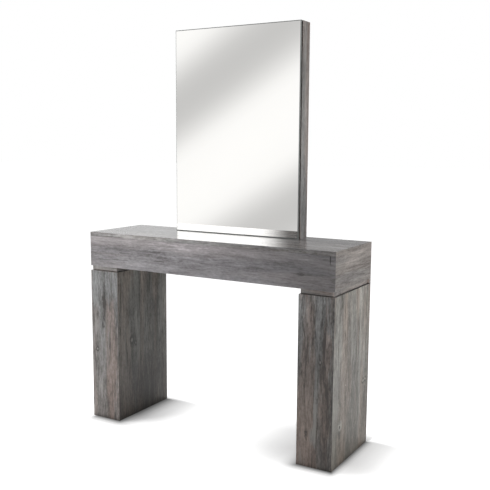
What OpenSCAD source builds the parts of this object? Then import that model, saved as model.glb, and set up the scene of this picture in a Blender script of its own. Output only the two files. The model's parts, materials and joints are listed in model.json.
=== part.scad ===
// Styling station: a laminated console on two slab legs, with a mirror box at its back edge.
// Millimetres. +Z is up, the front faces -Y, and the origin lies on the floor under the centre.

/* [Overall] */
// Width of the worktop and of the box under it
station_w = 1200; // [1000:10:1600]
// Depth from the front of the worktop to the wall
station_d = 364; // [330:2:460]
// Height of the worktop's upper face above the floor
worktop_h = 862; // [700:2:1000]

/* [Box] */
// Height of the box, worktop included
box_h = 153; // [130:1:220]
// Thickness of the worktop
worktop_t = 18; // [16:1:25]
// Thickness of the end panels and of the front apron
apron_t = 22; // [18:1:28]
// Thickness of the back rail, the ribs and the leg plates
rail_t = 18; // [16:1:22]
// Distance of a rib's middle from the centre of the station
rib_x = 150; // [100:5:180]
// How far the ribs end above the lower edge of the box
rib_setback = 20; // [10:1:40]

/* [Legs] */
// Width of a leg, seen from the front
leg_w = 152; // [140:2:200]
// Thickness of the leg's boards
leg_t = 18; // [16:1:22]
// Thickness of the recessed board between a leg and the box
spacer_t = 18; // [12:1:30]
// How far the recessed board stays behind the faces of the leg, except at its back end
spacer_inset = 6; // [3:1:12]
// Thickness of the black pad under the recessed board
joint_pad_t = 3; // [2:0.5:6]
// How far the black pad stays behind the faces of the leg, except at its back end
joint_pad_inset = 9; // [6:1:16]
// Depth of the back end of the recessed board and its pad, which come out to the faces of the leg
recess_end = 18; // [12:1:30]
// Height of the base board above the lower edge of the leg
base_recess = 22; // [18:1:40]

/* [Mirror] */
// Width of the mirror box
mirror_w = 624; // [560:2:900]
// Height of the mirror box
mirror_h = 895; // [600:5:1200]
// Thickness of the mirror glass
glass_t = 5; // [4:1:6]
// Width of the ground bevel round the glass
bevel_w = 3; // [2:1:20]
// Depth of the ground bevel at the edge of the glass
bevel_drop = 1.5; // [0.5:0.1:2.5]
// Thickness of the mounting tape behind the glass
tape_t = 1; // [0.5:0.5:2]
// Width of a strip of mounting tape
tape_w = 20; // [10:1:40]
// Number of strips of mounting tape
tape_count = 4; // [2:1:8]
// Thickness of the black backing board
backing_t = 10; // [6:1:16]
// How far the backing board stays behind the edges of the glass, all round
backing_inset = 8; // [4:1:14]
// Depth of the mirror's wooden frame
frame_d = 66; // [60:2:90]
// Thickness of the frame's boards
frame_t = 18; // [16:1:22]
// Thickness of the back panel
back_panel_t = 4; // [3:1:6]
// Height of the stretcher that carries the hanging cleat
stretcher_h = 100; // [80:5:160]
// Thickness of the stretcher
stretcher_t = 18; // [16:1:22]

/* [Wall hanging] */
// Space between the mirror's frame and the wall
wall_gap = 19; // [15:1:24]
// Play of each cleat in that space
cleat_play = 1; // [0.5:0.5:2]
// Length of both cleats
cleat_w = 500; // [460:10:520]
// Height of each cleat on its longer face
cleat_h = 60; // [50:2:74]
// Distance between the two wall screws
wall_hole_spacing = 400; // [200:10:420]
// Radius of the holes for the wall screws
wall_hole_r = 3.25; // [2.5:0.25:4]
// Distance between neighbouring cleat screws
cleat_screw_pitch = 140; // [80:5:145]
// Radius of a cleat screw
cleat_screw_r = 2.25; // [1.75:0.25:2.5]
// Length of a cleat screw
cleat_screw_l = 30; // [26:1:32]
// Height of the upper cleat's lower edge above that of the stretcher
cleat_rise = 8; // [2:1:30]

/* [Feet] */
// Gap between the legs' lower edges and the floor, with the feet at rest
foot_gap = 3; // [2:0.5:8]
// Radius of a foot's pad
foot_pad_r = 16; // [12:1:20]
// Height of a foot's pad
foot_pad_h = 9; // [7:0.5:12]
// Distance of the feet from the front and the back of the leg
foot_edge = 46; // [40:1:80]
// Radius of the foot's threaded stem
foot_stem_r = 4; // [3:0.5:5]
// Length of the threaded stem above its hexagon
foot_stem_l = 44; // [40:1:60]
// Height of the stem's hexagon
foot_hex_h = 5; // [4:0.5:6]

/* [Bolts] */
// Radius of the bolts that hold a leg
leg_bolt_r = 4; // [3:0.5:5]
// Distance between a leg's bolts across the leg
leg_bolt_dx = 60; // [40:2:64]
// Distance between a leg's bolts from front to back
leg_bolt_dy = 220; // [160:5:230]
// Radius of the bolts that hold the mirror box
mirror_bolt_r = 3; // [2.5:0.5:4]
// Distance of the mirror's bolts from the centre
mirror_bolt_x = 230; // [200:5:250]
// Thickness of the washers
washer_t = 1.6; // [1:0.1:2.5]
// Length of a threaded insert
insert_l = 12; // [10:0.5:14]
// Wall of a threaded insert
insert_wall = 2; // [1.5:0.5:3]
// Thickness of the flange on an insert
insert_flange_t = 1.5; // [1:0.5:2]
// How far the flange stands out round an insert
insert_flange_out = 3; // [2:0.5:4]
// How far a leg's bolts end past the leg's top board
leg_bolt_end = 6; // [2:1:15]

/* [Dowels and cams] */
// Radius of the wooden dowels
dowel_r = 4; // [3:0.5:5]
// Length of a dowel in the first board
dowel_near = 12; // [8:1:13]
// Length of a dowel in the second board
dowel_far = 18; // [12:1:24]
// Radius of a cam lock
cam_r = 7.5; // [6:0.5:9]
// Depth of a cam lock
cam_depth = 12.5; // [11:0.5:13.5]
// Distance of a cam lock's axis from the worktop
cam_drop = 24; // [20:1:34]
// Distance of a cam lock from the middle of the depth
cam_y = 90; // [60:5:110]
// Radius of a cam lock's pin
cam_pin_r = 3.5; // [2.5:0.5:4]
// Radius of the pin's thread in the worktop
cam_thread_r = 2.5; // [2:0.25:3]
// Thickness of worktop left above the pin's thread
cam_thread_cover = 6; // [4:0.5:8]
// Width of the driver's slot in a cam lock
cam_slot_w = 1.5; // [1:0.1:2]
// Depth of the driver's slot in a cam lock
cam_slot_depth = 2; // [1:0.5:3]

/* [Clearances] */
// Radial clearance of dowels, inserts and screws in their holes
hole_fit = 0.05; // [0.02:0.01:0.1]
// Radial clearance of bolts in the boards that they pass
bolt_clearance = 0.5; // [0.25:0.25:1]
// Gap between pieces that turn on each other
turn_gap = 0.3; // [0.2:0.1:0.5]

/* [Hidden] */
$fn = 48;

// How far a cutting shape passes the face that it cuts
cut = 1;
left = -1;
right = 1;
front = -1;
back = 1;
// Corner radius of a bolt's hexagon, and the height of its head, over the bolt's radius
hex_ratio = 1.875;
head_ratio = 1.3;
half_w = station_w / 2;
half_d = station_d / 2;

// Heights
leg_z = foot_gap;
leg_top_z = worktop_h - box_h - spacer_t - joint_pad_t;
leg_h = leg_top_z - leg_z;
spacer_z = leg_top_z + joint_pad_t;
box_z = spacer_z + spacer_t;
worktop_z = worktop_h - worktop_t;
panel_h = worktop_z - box_z;
leg_board_z = leg_top_z - leg_t;
base_z = leg_z + base_recess;
plate_top_z = box_z + rail_t;

// Box
inner_w = station_w - 2 * apron_t;
inner_y0 = -half_d + apron_t;
inner_y1 = half_d - rail_t;
plate_w = leg_w - apron_t;
cam_ys = [-cam_y, cam_y];
rib_h = panel_h - rib_setback;
cam_z = worktop_z - cam_drop;
cam_thread_l = worktop_t - cam_thread_cover;
// The cams' pins stand this far inside the face that a cam opens through
cam_pin_inset = min(apron_t, rail_t) / 2;
rail_dowel_x = station_w / 3;
rail_dowel_xs = [-rail_dowel_x, 0, rail_dowel_x];
apron_mid_y = -half_d + apron_t / 2;
rail_mid_y = half_d - rail_t / 2;
end_dowel_zs = [box_z + panel_h / 4, worktop_z - panel_h / 4];
plate_dowel_y = station_d / 4;
plate_mid_z = box_z + rail_t / 2;

// Legs and feet
leg_x = half_w - leg_w / 2;
foot_y = half_d - foot_edge;
foot_hex_r = foot_stem_r * hex_ratio;
foot_socket_h = foot_pad_h / 2;
foot_insert_r = foot_stem_r + hole_fit + insert_wall;
leg_insert_r = leg_bolt_r + hole_fit + insert_wall;
leg_bolt_l = washer_t + rail_t + spacer_t + joint_pad_t + leg_t + leg_bolt_end;

// Mirror box
mirror_z = worktop_h;
mirror_top_z = mirror_z + mirror_h;
frame_y1 = half_d - wall_gap;
frame_y0 = frame_y1 - frame_d;
backing_y0 = frame_y0 - backing_t;
tape_y0 = backing_y0 - tape_t;
glass_y0 = tape_y0 - glass_t;
frame_mid_y = (frame_y0 + frame_y1) / 2;
half_mirror = mirror_w / 2;
stretcher_y0 = frame_y1 - stretcher_t;
stretcher_w = mirror_w - 2 * frame_t;
stretcher_top_z = mirror_top_z - frame_t;
back_panel_y0 = stretcher_y0 - back_panel_t;
mirror_insert_r = mirror_bolt_r + hole_fit + insert_wall;
mirror_bolt_l = washer_t + worktop_t + insert_l;

// Cleats
cleat_t = wall_gap - cleat_play;
cleat_back_y = frame_y1 + cleat_t;
cleat_toe_z = stretcher_top_z - stretcher_h + cleat_rise;
cleat_mid_z = cleat_toe_z + (cleat_h + cleat_t) / 2;
wall_hole_z = cleat_toe_z - cleat_play - (cleat_h - cleat_t) / 2;
cleat_screw_xs = [for (i = [-1.5:1:1.5]) i * cleat_screw_pitch];

// Colours
oak = [0.42, 0.40, 0.39];
black_board = [0.05, 0.05, 0.05];
silver = [0.80, 0.82, 0.82];
raw_board = [0.62, 0.50, 0.36];
steel = [0.62, 0.63, 0.65];

// The plan of a board with both ends mitred, from a to b with its inner face on the left
function mitred(a, b, t) =
    let (along = (b - a) / norm(b - a), inward = [-along.y, along.x])
    [a, b, b + (inward - along) * t, a + (inward + along) * t];

// The corners of an upright rectangle in plan, counter-clockwise from its lower left
function rectangle(x0, x1, y0, y1) = [[x0, y0], [x1, y0], [x1, y1], [x0, y1]];

// The outline of one side of a mitred frame: 0 is the first side, 1 the next one round
function frame_side(corners, i, t) = mitred(corners[i], corners[(i + 1) % 4], t);

// The corners of a leg on one side of the station
function leg_corners(side) =
    let (outer = side * half_w, inner = side * (half_w - leg_w))
    rectangle(min(outer, inner), max(outer, inner), -half_d, half_d);

// A block between two corners
module block(low, high) {
    translate(low) cube(high - low);
}

// A shape in X and Z, extruded along Y from y0 to y1
module along_y(y0, y1) {
    translate([0, y1, 0]) rotate([90, 0, 0]) linear_extrude(y1 - y0) children();
}

// A shape in Y and Z, extruded along X from x0 to x1
module along_x(x0, x1) {
    translate([x0, 0, 0]) rotate([90, 0, 90]) linear_extrude(x1 - x0) children();
}

// The four bolt places of a leg
module at_leg_bolts(side) {
    for (dx = [-leg_bolt_dx / 2, leg_bolt_dx / 2], dy = [-leg_bolt_dy / 2, leg_bolt_dy / 2])
        translate([side * leg_x + dx, dy, 0]) children();
}

// The two bolt places of the mirror box
module at_mirror_bolts() {
    for (x = [-mirror_bolt_x, mirror_bolt_x]) translate([x, frame_mid_y, 0]) children();
}

// The places of the cams: on the end panels and on the ribs, all opening towards the centre
module at_cams() {
    for (side = [left, right], y = cam_ys) {
        translate([side * (half_w - apron_t), y, 0]) cam_facing(side) children();
        translate([side * (rib_x - rail_t / 2), y, 0]) cam_facing(side) children();
    }
}

// Turns a cam that opens towards -X so that it opens towards the centre
module cam_facing(side) {
    rotate([0, 0, side == left ? 180 : 0]) children();
}

module cam_pocket() {
    translate([0, 0, cam_z]) rotate([0, 90, 0])
        translate([0, 0, -cut]) cylinder(r = cam_r + hole_fit, h = cam_depth + hole_fit + cut);
    translate([cam_pin_inset, 0, cam_z]) cylinder(r = cam_pin_r + bolt_clearance, h = cam_drop + cut);
}

module cam_lock() {
    difference() {
        translate([0, 0, cam_z]) rotate([0, 90, 0]) cylinder(r = cam_r, h = cam_depth);
        translate([cam_pin_inset, 0, cam_z - cam_pin_r])
            cylinder(r = cam_pin_r + bolt_clearance, h = cam_r + cam_pin_r + cut);
        for (turn = [0, 90])
            translate([-cut, 0, cam_z]) rotate([turn, 0, 0])
                translate([0, -cam_r / 2, -cam_slot_w / 2])
                    cube([cut + cam_slot_depth, cam_r, cam_slot_w]);
    }
}

module cam_pin() {
    translate([cam_pin_inset, 0, cam_z]) cylinder(r = cam_pin_r, h = cam_drop);
    translate([cam_pin_inset, 0, worktop_z]) cylinder(r = cam_thread_r, h = cam_thread_l);
}

// A dowel that stands across a joint at z = 0, a shorter part above it
module dowel(extra = 0) {
    translate([0, 0, -dowel_far - extra])
        cylinder(r = dowel_r + extra, h = dowel_near + dowel_far + 2 * extra);
}

// The dowels between the worktop and the two long rails
module worktop_dowel_set(extra = 0) {
    for (x = rail_dowel_xs, y = [apron_mid_y, rail_mid_y])
        translate([x, y, worktop_z]) dowel(extra);
}

// The dowels at one end of the box, which lie across its end panel's inner face
module end_dowel_set(side, extra = 0) {
    translate([side * inner_w / 2, 0, 0]) {
        for (y = [apron_mid_y, rail_mid_y], z = end_dowel_zs)
            translate([0, y, z]) rotate([0, side * 90, 0]) dowel(extra);
        for (y = [-plate_dowel_y, plate_dowel_y])
            translate([0, y, plate_mid_z]) rotate([0, side * 90, 0]) dowel(extra);
    }
}

// A hexagon-headed bolt that points down, the underside of its head at z = 0
module hex_bolt(r, l) {
    cylinder(r = r * hex_ratio, h = r * head_ratio, $fn = 6);
    translate([0, 0, -l]) cylinder(r = r, h = l);
}

// A washer that lies on z = 0
module washer(r) {
    difference() {
        cylinder(r = r * 2, h = washer_t);
        translate([0, 0, -cut]) cylinder(r = r + bolt_clearance / 2, h = washer_t + 2 * cut);
    }
}

// A threaded insert that stands on z = 0, with its flange below that level if it has one
module insert_nut(bore_r, outer_r, flanged) {
    difference() {
        union() {
            cylinder(r = outer_r, h = insert_l);
            if (flanged)
                translate([0, 0, -insert_flange_t])
                    cylinder(r = outer_r + insert_flange_out, h = insert_flange_t);
        }
        translate([0, 0, -insert_flange_t - cut])
            cylinder(r = bore_r + hole_fit, h = insert_l + insert_flange_t + 2 * cut);
    }
}

module worktop() {
    color(oak) difference() {
        block([-half_w, -half_d, worktop_z], [half_w, half_d, worktop_h]);
        at_cams() translate([cam_pin_inset, 0, worktop_z - cut])
            cylinder(r = cam_thread_r + hole_fit, h = cam_thread_l + cut);
        worktop_dowel_set(hole_fit);
        at_mirror_bolts() translate([0, 0, worktop_z - cut])
            cylinder(r = mirror_bolt_r + bolt_clearance, h = worktop_t + 2 * cut);
    }
}

module box_end(side) {
    color(oak) difference() {
        block([min(side * half_w, side * inner_w / 2), -half_d, box_z],
              [max(side * half_w, side * inner_w / 2), half_d, worktop_z]);
        at_cams() cam_pocket();
        end_dowel_set(side, hole_fit);
    }
}

module long_rail(y0, y1) {
    color(oak) difference() {
        block([-inner_w / 2, y0, box_z], [inner_w / 2, y1, worktop_z]);
        worktop_dowel_set(hole_fit);
        for (side = [left, right]) end_dowel_set(side, hole_fit);
    }
}

module box_rib(side) {
    color(oak) difference() {
        block([side * rib_x - rail_t / 2, inner_y0, worktop_z - rib_h],
              [side * rib_x + rail_t / 2, inner_y1, worktop_z]);
        at_cams() cam_pocket();
    }
}

module leg_plate(side) {
    inner = side * (half_w - leg_w);
    outer = side * inner_w / 2;
    color(oak) difference() {
        block([min(inner, outer), inner_y0, box_z], [max(inner, outer), inner_y1, plate_top_z]);
        end_dowel_set(side, hole_fit);
        at_leg_bolts(side) translate([0, 0, box_z - cut])
            cylinder(r = leg_bolt_r + bolt_clearance, h = rail_t + 2 * cut);
    }
}

// The plan of a board between leg and box, behind the leg's faces by inset except at its back end
function recessed_plan(side, inset) =
    let (x0 = side * leg_x - leg_w / 2, x1 = side * leg_x + leg_w / 2, y1 = half_d - recess_end)
    [[x0 + inset, inset - half_d], [x1 - inset, inset - half_d], [x1 - inset, y1], [x1, y1],
     [x1, half_d], [x0, half_d], [x0, y1], [x0 + inset, y1]];

module recessed_board(side, inset, z0, z1) {
    difference() {
        translate([0, 0, z0]) linear_extrude(z1 - z0) polygon(recessed_plan(side, inset));
        at_leg_bolts(side) translate([0, 0, z0 - cut])
            cylinder(r = leg_bolt_r + bolt_clearance, h = z1 - z0 + 2 * cut);
    }
}

module spacer_board(side) {
    color(oak) recessed_board(side, spacer_inset, spacer_z, box_z);
}

module joint_pad(side) {
    color(black_board) recessed_board(side, joint_pad_inset, leg_top_z, spacer_z);
}

// One upright board of a leg: 0 is the front, 1 the +X side, 2 the back and 3 the -X side
module leg_wall(side, i) {
    color(oak) translate([0, 0, leg_z]) linear_extrude(leg_h)
        polygon(frame_side(leg_corners(side), i, leg_t));
}

// A board that fills the leg's inside, from z0 up
module leg_floor(side, z0) {
    block([side * leg_x - leg_w / 2 + leg_t, -half_d + leg_t, z0],
          [side * leg_x + leg_w / 2 - leg_t, half_d - leg_t, z0 + leg_t]);
}

module leg_top(side) {
    color(oak) difference() {
        leg_floor(side, leg_board_z);
        at_leg_bolts(side) {
            translate([0, 0, leg_board_z - cut]) cylinder(r = leg_insert_r + hole_fit, h = insert_l + cut);
            translate([0, 0, leg_board_z]) cylinder(r = leg_bolt_r + bolt_clearance, h = leg_t + cut);
        }
    }
}

module leg_base(side) {
    color(oak) difference() {
        leg_floor(side, base_z);
        for (end = [front, back]) translate([side * leg_x, end * foot_y, base_z - cut])
            cylinder(r = foot_insert_r + hole_fit, h = leg_t + 2 * cut);
    }
}

module foot_pad(side, end) {
    color(black_board) translate([side * leg_x, end * foot_y, 0]) difference() {
        union() {
            cylinder(r = foot_pad_r, h = foot_pad_h * 0.4);
            translate([0, 0, foot_pad_h * 0.4])
                cylinder(r1 = foot_pad_r, r2 = foot_pad_r * 0.7, h = foot_pad_h * 0.6);
        }
        translate([0, 0, foot_pad_h - foot_socket_h])
            cylinder(r = foot_stem_r + hole_fit, h = foot_socket_h + cut);
    }
}

module foot_stem(side, end) {
    hex_z = foot_pad_h + turn_gap;
    color(steel) translate([side * leg_x, end * foot_y, 0]) {
        translate([0, 0, foot_pad_h - foot_socket_h + turn_gap])
            cylinder(r = foot_stem_r, h = foot_socket_h + foot_hex_h + foot_stem_l);
        translate([0, 0, hex_z]) cylinder(r = foot_hex_r, h = foot_hex_h, $fn = 6);
    }
}

// The glass, bevelled round its front face
module mirror_glass() {
    bevel_y = glass_y0 + bevel_drop;
    color(silver) intersection() {
        translate([0, 0, mirror_z]) linear_extrude(mirror_h) polygon([
            [-half_mirror, tape_y0], [-half_mirror, bevel_y], [bevel_w - half_mirror, glass_y0],
            [half_mirror - bevel_w, glass_y0], [half_mirror, bevel_y], [half_mirror, tape_y0]]);
        along_x(-half_mirror, half_mirror) polygon([
            [tape_y0, mirror_z], [bevel_y, mirror_z], [glass_y0, mirror_z + bevel_w],
            [glass_y0, mirror_top_z - bevel_w], [bevel_y, mirror_top_z], [tape_y0, mirror_top_z]]);
    }
}

module mirror_tape() {
    edge = backing_inset + tape_w;
    pitch = (mirror_w - 2 * edge - tape_w) / (tape_count - 1);
    color(black_board) for (i = [0:tape_count - 1])
        translate([edge - half_mirror + i * pitch, tape_y0, mirror_z + edge])
            cube([tape_w, tape_t, mirror_h - 2 * edge]);
}

module mirror_backing_board() {
    color(black_board)
        block([backing_inset - half_mirror, backing_y0, mirror_z + backing_inset],
              [half_mirror - backing_inset, frame_y0, mirror_top_z - backing_inset]);
}

// One board of the mirror's frame: 0 is the bottom, 1 the right side, 2 the top, 3 the left side
module mirror_frame_board(i) {
    corners = rectangle(-half_mirror, half_mirror, mirror_z, mirror_top_z);
    color(oak) along_y(frame_y0, frame_y1) polygon(frame_side(corners, i, frame_t));
}

module mirror_bottom_board() {
    difference() {
        mirror_frame_board(0);
        at_mirror_bolts() translate([0, 0, mirror_z - cut])
            cylinder(r = mirror_insert_r + hole_fit, h = insert_l + cut);
    }
}

module mirror_stretcher() {
    color(raw_board) difference() {
        block([-stretcher_w / 2, stretcher_y0, stretcher_top_z - stretcher_h],
              [stretcher_w / 2, frame_y1, stretcher_top_z]);
        cleat_screw_set(hole_fit, cut);
    }
}

module mirror_back_panel() {
    color(raw_board)
        block([-stretcher_w / 2, back_panel_y0, mirror_z + frame_t],
              [stretcher_w / 2, stretcher_y0, stretcher_top_z]);
}

// The countersunk screws that hold the mirror's cleat, their heads flush with its back.
// The holes for them are larger by extra and run past that back by past.
module cleat_screw_set(extra = 0, past = 0) {
    head_r = 2 * cleat_screw_r + extra;
    for (x = cleat_screw_xs) translate([x, cleat_back_y, cleat_mid_z]) rotate([90, 0, 0]) {
        translate([0, 0, -past]) cylinder(r = cleat_screw_r + extra, h = cleat_screw_l + extra + past);
        cylinder(r1 = head_r, r2 = cleat_screw_r + extra, h = cleat_screw_r);
        if (past > 0) translate([0, 0, -past]) cylinder(r = head_r, h = past);
    }
}

// The upper cleat hooks over the lower one: both are cut at 45 degrees
module mirror_cleat() {
    y0 = frame_y1;
    y1 = cleat_back_y;
    color(raw_board) difference() {
        along_x(-cleat_w / 2, cleat_w / 2) polygon([
            [y0, cleat_toe_z + cleat_t], [y1, cleat_toe_z],
            [y1, cleat_toe_z + cleat_h], [y0, cleat_toe_z + cleat_h]]);
        cleat_screw_set(hole_fit, cut);
    }
}

module wall_cleat() {
    y0 = half_d - cleat_t;
    y1 = half_d;
    heel_z = cleat_toe_z - cleat_play;
    color(raw_board) difference() {
        along_x(-cleat_w / 2, cleat_w / 2) polygon([
            [y1, heel_z], [y0, heel_z + cleat_t],
            [y0, heel_z + cleat_t - cleat_h], [y1, heel_z + cleat_t - cleat_h]]);
        for (x = [-wall_hole_spacing / 2, wall_hole_spacing / 2])
            translate([x, y0 - cut, wall_hole_z]) rotate([-90, 0, 0])
                cylinder(r = wall_hole_r, h = cleat_t + 2 * cut);
    }
}

module cleat_screws() {
    color(steel) cleat_screw_set();
}

module worktop_cam_pins() {
    color(steel) at_cams() cam_pin();
}

module worktop_cam_locks() {
    color(steel) at_cams() cam_lock();
}

module worktop_dowels() {
    color(raw_board) worktop_dowel_set();
}

module carcass_dowels() {
    color(raw_board) for (side = [left, right]) end_dowel_set(side);
}

module leg_bolts() {
    color(steel) for (side = [left, right])
        at_leg_bolts(side) translate([0, 0, plate_top_z + washer_t]) hex_bolt(leg_bolt_r, leg_bolt_l);
}

module leg_bolt_washers() {
    color(steel) for (side = [left, right])
        at_leg_bolts(side) translate([0, 0, plate_top_z]) washer(leg_bolt_r);
}

module leg_insert_nuts() {
    color(steel) for (side = [left, right])
        at_leg_bolts(side) translate([0, 0, leg_board_z]) insert_nut(leg_bolt_r, leg_insert_r, true);
}

module mirror_bolts() {
    color(steel) at_mirror_bolts() translate([0, 0, worktop_z - washer_t])
        rotate([180, 0, 0]) hex_bolt(mirror_bolt_r, mirror_bolt_l);
}

module mirror_bolt_washers() {
    color(steel) at_mirror_bolts() translate([0, 0, worktop_z - washer_t]) washer(mirror_bolt_r);
}

module mirror_insert_nuts() {
    color(steel) at_mirror_bolts() translate([0, 0, mirror_z])
        insert_nut(mirror_bolt_r, mirror_insert_r, false);
}

module foot_insert_nuts() {
    color(steel) for (side = [left, right], end = [front, back])
        translate([side * leg_x, end * foot_y, base_z]) insert_nut(foot_stem_r, foot_insert_r, true);
}

worktop();
box_end(left);  // box_left_end
box_end(right);  // box_right_end
long_rail(-half_d, inner_y0);  // box_front_apron
long_rail(inner_y1, half_d);  // box_back_rail
box_rib(left);  // box_left_rib
box_rib(right);  // box_right_rib
leg_plate(left);  // left_leg_plate
leg_plate(right);  // right_leg_plate
spacer_board(left);  // left_spacer_board
spacer_board(right);  // right_spacer_board
joint_pad(left);  // left_joint_pad
joint_pad(right);  // right_joint_pad
leg_wall(left, 3);  // left_leg_outer_side
leg_wall(left, 1);  // left_leg_inner_side
leg_wall(left, 0);  // left_leg_front
leg_wall(left, 2);  // left_leg_back
leg_top(left);  // left_leg_top
leg_base(left);  // left_leg_base
leg_wall(right, 1);  // right_leg_outer_side
leg_wall(right, 3);  // right_leg_inner_side
leg_wall(right, 0);  // right_leg_front
leg_wall(right, 2);  // right_leg_back
leg_top(right);  // right_leg_top
leg_base(right);  // right_leg_base
mirror_glass();
mirror_tape();
mirror_backing_board();
mirror_frame_board(3);  // mirror_left_side
mirror_frame_board(1);  // mirror_right_side
mirror_frame_board(2);  // mirror_top_board
mirror_bottom_board();
mirror_stretcher();
mirror_back_panel();
mirror_cleat();
wall_cleat();
cleat_screws();
worktop_cam_pins();
worktop_cam_locks();
worktop_dowels();
carcass_dowels();
leg_bolts();
leg_bolt_washers();
leg_insert_nuts();
mirror_bolts();
mirror_bolt_washers();
mirror_insert_nuts();
foot_insert_nuts();
foot_pad(left, front);  // front_left_foot_pad
foot_pad(right, front);  // front_right_foot_pad
foot_pad(left, back);  // back_left_foot_pad
foot_pad(right, back);  // back_right_foot_pad
foot_stem(left, front);  // front_left_foot_stem
foot_stem(right, front);  // front_right_foot_stem
foot_stem(left, back);  // back_left_foot_stem
foot_stem(right, back);  // back_right_foot_stem
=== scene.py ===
"""Looks of a salon styling station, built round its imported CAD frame.

The station is a console of grey oak laminate: a deep box on two slab legs, with a tall frameless mirror on a
shallow wooden box at the back of the worktop. The boards that show get softened arrises and printed oak, the
glass its silvering, and the levelling feet their threads. Everything is in metres, +Z up, front towards -Y.
"""

from __future__ import annotations

import json
import logging
import math
from dataclasses import dataclass, replace
from enum import Enum
from typing import Iterable, Sequence

import bmesh
import bpy
from mathutils import Euler, Matrix, Vector

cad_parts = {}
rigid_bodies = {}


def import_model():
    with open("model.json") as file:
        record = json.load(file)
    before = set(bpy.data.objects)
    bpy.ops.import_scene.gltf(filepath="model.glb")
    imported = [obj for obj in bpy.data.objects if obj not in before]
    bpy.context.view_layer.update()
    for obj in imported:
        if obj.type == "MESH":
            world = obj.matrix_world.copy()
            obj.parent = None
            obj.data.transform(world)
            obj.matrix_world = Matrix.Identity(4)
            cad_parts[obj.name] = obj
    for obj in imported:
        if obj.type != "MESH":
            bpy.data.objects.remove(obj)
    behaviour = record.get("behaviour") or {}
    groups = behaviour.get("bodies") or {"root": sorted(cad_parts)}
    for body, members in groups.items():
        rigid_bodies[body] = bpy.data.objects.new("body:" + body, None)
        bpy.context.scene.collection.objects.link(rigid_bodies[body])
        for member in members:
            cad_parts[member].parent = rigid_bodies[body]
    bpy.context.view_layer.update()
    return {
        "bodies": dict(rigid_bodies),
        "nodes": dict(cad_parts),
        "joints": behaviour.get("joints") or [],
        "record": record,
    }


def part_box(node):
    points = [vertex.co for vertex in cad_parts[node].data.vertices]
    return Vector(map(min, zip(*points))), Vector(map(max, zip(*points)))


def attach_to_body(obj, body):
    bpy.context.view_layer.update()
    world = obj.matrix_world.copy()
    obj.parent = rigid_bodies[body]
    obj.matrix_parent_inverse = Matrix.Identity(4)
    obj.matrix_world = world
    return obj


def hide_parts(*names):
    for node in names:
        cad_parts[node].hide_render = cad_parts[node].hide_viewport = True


log = logging.getLogger("styling_station")

Colour = Triple = tuple[float, float, float]
Drift = tuple[tuple[float, Colour], ...]
Socket = bpy.types.NodeSocket
Material = bpy.types.Material
Object = bpy.types.Object

MM = 0.001
WELD = 1e-6  # corners closer than this are one
INNER, OUTER = 0.448, 0.600  # a leg's two wide sides, from the middle of the station
FRONT, BACK = -0.182, 0.182  # the station's front and back


class Grain(Enum):
    """The direction that a board's grain runs in, as the turn that brings it to the pattern's own X."""

    ACROSS = (0.0, 0.0, 0.0)
    DEEP = (0.0, 0.0, -math.pi / 2)
    UP = (0.0, math.pi / 2, 0.0)

    @property
    def axis(self) -> int:
        """The index of the grain's axis in the frame: 0 for X, 1 for Y, 2 for Z."""
        return list(Grain).index(self)


class Side(Enum):
    """The left or right of the station, seen from the front."""

    LEFT = "left"
    RIGHT = "right"


class End(Enum):
    """The front or back of the station."""

    FRONT = "front"
    BACK = "back"


# Node graphs


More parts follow.
